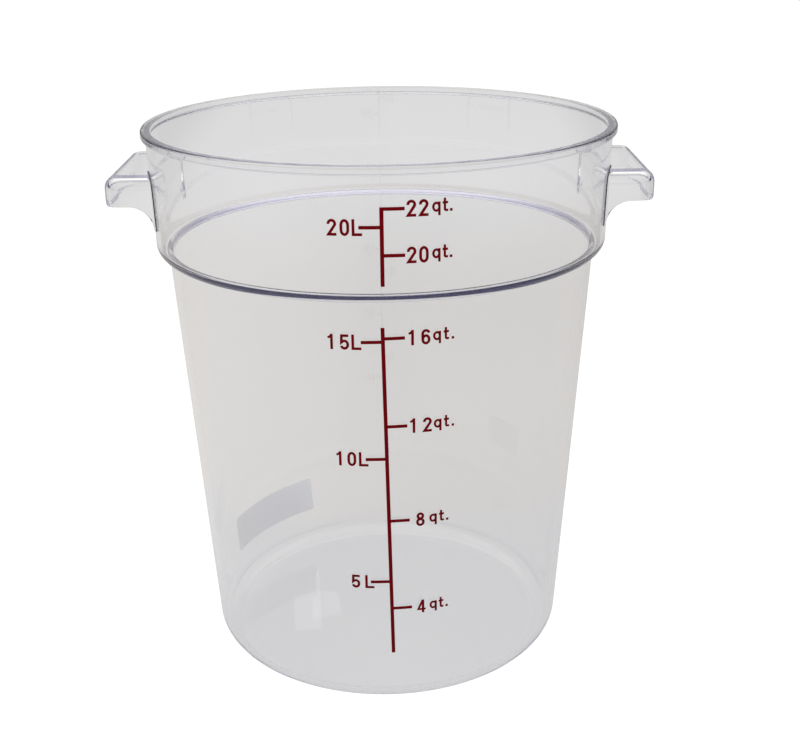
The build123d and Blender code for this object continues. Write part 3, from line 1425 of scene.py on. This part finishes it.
@dataclass(frozen=True)
class Studio:
    """The pale floor, the room round it and the lamps.

    The photograph is a cut-out on white, with an even pale grey inside the clear plastic. So the floor
    and the room are white where the camera sees them directly, and pale grey where it looks through
    the plastic, whose wall would all but vanish against plain white. A pair of numbers named reach or
    side is the stretch over which one level or colour gives way to the next. On the floor it is a
    distance from the tub's axis, and in the room it is the share of a direction that points to the
    side or up.

    Attributes:
        floor_half: Half the floor's width.
        floor_paint: How pale its paint is.
        floor_white: How bright the camera sees it, beyond what its paint gives back.
        floor_through: How bright the plastic shows it, before the shares below, which paint light on it
            in stretches.
        floor_beneath: Its share beneath the tub, at the left and then elsewhere.
        floor_beneath_side: Where sideways the first gives way to the second.
        floor_beneath_reach: Where, behind the axis, the stretch beneath the tub ends.
        floor_warm: The colour of the stretch behind the tub.
        floor_warm_reach: Where, behind the axis, that colour ends.
        floor_fall: The share of that stretch, at the left and then at the right.
        floor_fall_reach: Where sideways the first gives way to the second.
        floor_far: The share of the far floor in its middle.
        floor_far_dim: How much of that is left at its sides.
        floor_far_side: Where sideways the far floor dims.
        room_fill: How bright the room lights plain surfaces.
        room_pale: What the plastic shows of its walls.
        room_bright: What it shows of its ceiling.
        room_dark: What it shows low at both sides and along the horizon.
        room_side: Where the dark sides begin.
        room_side_top: Where, upwards, they end.
        room_horizon: Where, upwards, the dark horizon ends.
        room_overhead: Where the ceiling begins.
        light_bounces: How often light is followed through the plastic.
        shadow_layers: How many skins of plastic a lamp shines through.
    """

    floor_half: float = 12.0
    floor_paint: float = 0.14
    floor_white: float = 0.96
    floor_through: float = 0.51
    floor_beneath: Point = (1.14, 0.99)
    floor_beneath_side: Point = (-0.21, -0.12)
    floor_beneath_reach: Point = (0.12, 0.18)
    floor_warm: Colour = (1.0, 0.967, 0.925, 1.0)
    floor_warm_reach: Point = (0.7, 1.7)
    floor_fall: Point = (1.19, 1.03)
    floor_fall_reach: Point = (-0.35, 0.05)
    floor_far: float = 1.30
    floor_far_dim: float = 0.86
    floor_far_side: Point = (0.42, 0.60)
    room_fill: float = 0.45
    room_pale: Colour = (0.72, 0.72, 0.72, 1.0)
    room_bright: Colour = (1.30, 1.30, 1.28, 1.0)
    room_dark: Colour = (0.05, 0.042, 0.12, 1.0)
    room_side: Point = (0.50, 0.65)
    room_side_top: Point = (0.16, 0.22)
    room_horizon: Point = (0.03, 0.09)
    room_overhead: Point = (0.50, 0.75)
    light_bounces: int = 200
    shadow_layers: int = 24

    def build(self) -> None:
        """Build the floor, the room and the lamps, and say how light paths are followed."""
        scene = bpy.context.scene
        scene.view_settings.view_transform = "Standard"
        scene.cycles.max_bounces = self.light_bounces
        scene.cycles.transmission_bounces = self.light_bounces
        scene.cycles.glossy_bounces = self.light_bounces
        scene.cycles.transparent_max_bounces = self.shadow_layers
        scene.cycles.caustics_reflective = False
        scene.cycles.caustics_refractive = True
        self.floor()
        self.room()
        for lamp in self.lamps():
            lamp.build()

    def lamps(self) -> list[SoftBox]:
        """The lamps of the studio.

        Returns:
            The lamps, none of them built yet.
        """
        side = {"width": 1.0, "height": 1.2, "power": 26.0}
        overhead = {"width": 0.9, "height": 1.4, "power": 8.5, "aim": (-0.4, -0.29, 0.0)}
        rear = {"width": 0.074, "height": 0.133, "power": 0.018, "aim": (-0.07, 0.005, 0.0035)}
        return [
            SoftBox("key_overhead", (-0.4, -0.3, 1.7), **overhead),
            SoftBox("fill_left", (-1.5, -1.0, 1.1), **side),
            SoftBox("fill_right", (1.5, -1.0, 1.3), **side),
            SoftBox("rear_strip", (-0.2335, 1.7145, 1.028), mirrored=True, **rear),
        ]

    def floor(self) -> bpy.types.Object:
        """Lay the floor, so white to the camera that the tub's faint shadow doesn't show on it.

        Returns:
            The floor.
        """
        half = self.floor_half
        corners = [(-half, -half, 0), (half, -half, 0), (half, half, 0), (-half, half, 0)]
        mesh = bpy.data.meshes.new("floor")
        mesh.from_pydata(corners, [], [(0, 1, 2, 3)])
        floor = bpy.data.objects.new("floor", mesh)
        bpy.context.scene.collection.objects.link(floor)
        finish = Finish("floor")
        paint = finish.add("ShaderNodeBsdfDiffuse")
        paint.inputs["Color"].default_value = grey(self.floor_paint)
        glow = finish.add("ShaderNodeEmission")
        self.brighten(finish, glow)
        both = finish.add("ShaderNodeAddShader")
        finish.join(paint.outputs[0], both.inputs[0])
        finish.join(glow.outputs[0], both.inputs[1])
        finish.cover(both)
        mesh.materials.append(finish.material)
        return floor

    def brighten(self, finish: Finish, glow: bpy.types.Node) -> None:
        """Set how bright the floor glows to the camera and through the plastic, with painted light in
        stretches.

        Args:
            finish: The floor's material.
            glow: The shader that brightens it.
        """
        path, plastic = seen_through_plastic(finish)
        side, back, _ = finish.split(finish.place)
        # Painted light: the glow is brighter or dimmer beneath the tub, behind it and far off, and warm
        # behind it.
        beneath = finish.spread(back, self.floor_beneath_reach, (1.0, 0.0))
        under = finish.spread(side, self.floor_beneath_side, self.floor_beneath)
        fall = finish.spread(side, self.floor_fall_reach, self.floor_fall)
        far = finish.spread(back, self.floor_warm_reach, (0.0, 1.0))
        far_levels = (self.floor_far, self.floor_far * self.floor_far_dim)
        dim = finish.spread(finish.math("ABSOLUTE", side), self.floor_far_side, far_levels)
        share = finish.blend(beneath, finish.blend(far, fall, dim), under)
        level = finish.math("MULTIPLY", plastic, finish.math("MULTIPLY", share, self.floor_through))
        level = finish.blend(path.outputs["Is Camera Ray"], level, self.floor_white)
        finish.join(level, glow.inputs["Strength"])
        plain = finish.math("MAXIMUM", far, beneath)
        plain = finish.math("MAXIMUM", plain, path.outputs["Is Camera Ray"])
        finish.join(finish.tint(plain, self.floor_warm, WHITE), glow.inputs["Color"])

    def room(self) -> None:
        """Paint the room, white to the camera and in pale and dark stretches to the plastic."""
        world = bpy.data.worlds.new("room")
        bpy.context.scene.world = world
        world.use_nodes = True
        tree = NodeTree(world.node_tree)
        output = tree.add("ShaderNodeOutputWorld")
        back = tree.add("ShaderNodeBackground")
        path, plastic = seen_through_plastic(tree)
        side, _, up = tree.split(tree.add("ShaderNodeTexCoord").outputs["Generated"])
        sideways = tree.spread(tree.math("ABSOLUTE", side), self.room_side, (0.0, 1.0))
        low = tree.spread(up, self.room_side_top, (1.0, 0.0))
        horizon = tree.spread(up, self.room_horizon, (1.0, 0.0))
        dark = tree.math("MAXIMUM", tree.math("MULTIPLY", sideways, low), horizon)
        overhead = tree.spread(up, self.room_overhead, (0.0, 1.0))
        tone = tree.tint(dark, tree.tint(overhead, self.room_pale, self.room_bright), self.room_dark)
        level = tree.tint(plastic, grey(self.room_fill), tone)
        level = tree.tint(path.outputs["Is Camera Ray"], level, WHITE)
        tree.join(level, back.inputs["Color"])
        tree.join(back.outputs[0], output.inputs["Surface"])


def main() -> None:
    """Build the camera, the studio and every piece, and report them."""
    logging.basicConfig(level=logging.INFO, format="%(name)s: %(message)s")
    Viewpoint().build()
    Studio().build()
    plastic = ClearPlastic().material("clear_plastic")
    ink = PrintedInk().material("red_ink")
    paper = LabelStock().material("label_stock")
    # The joint lines' near-black violet is painted shade.
    joint_shade = PaintedJointShade().material("joint_painted_shade")
    tub = Tub()
    pieces = [tub.build(Lathe(), plastic)]
    pieces += Carried(("handle_left", "handle_right"), Slot.PLASTIC).dress(plastic)
    pieces.append(JointLines("handle_left_joint", "handle_left", tub).build(joint_shade))
    pieces.append(JointLines("handle_right_joint", "handle_right", tub).build(joint_shade))
    pieces += PrintedScale(tub).build(ink)
    pieces += Carried(("rear_label",), Slot.LABEL).dress(paper)
    for piece in pieces:
        LOG.info("%s: %d faces", piece.name, len(piece.data.polygons))


if __name__ == "__main__":
    main()
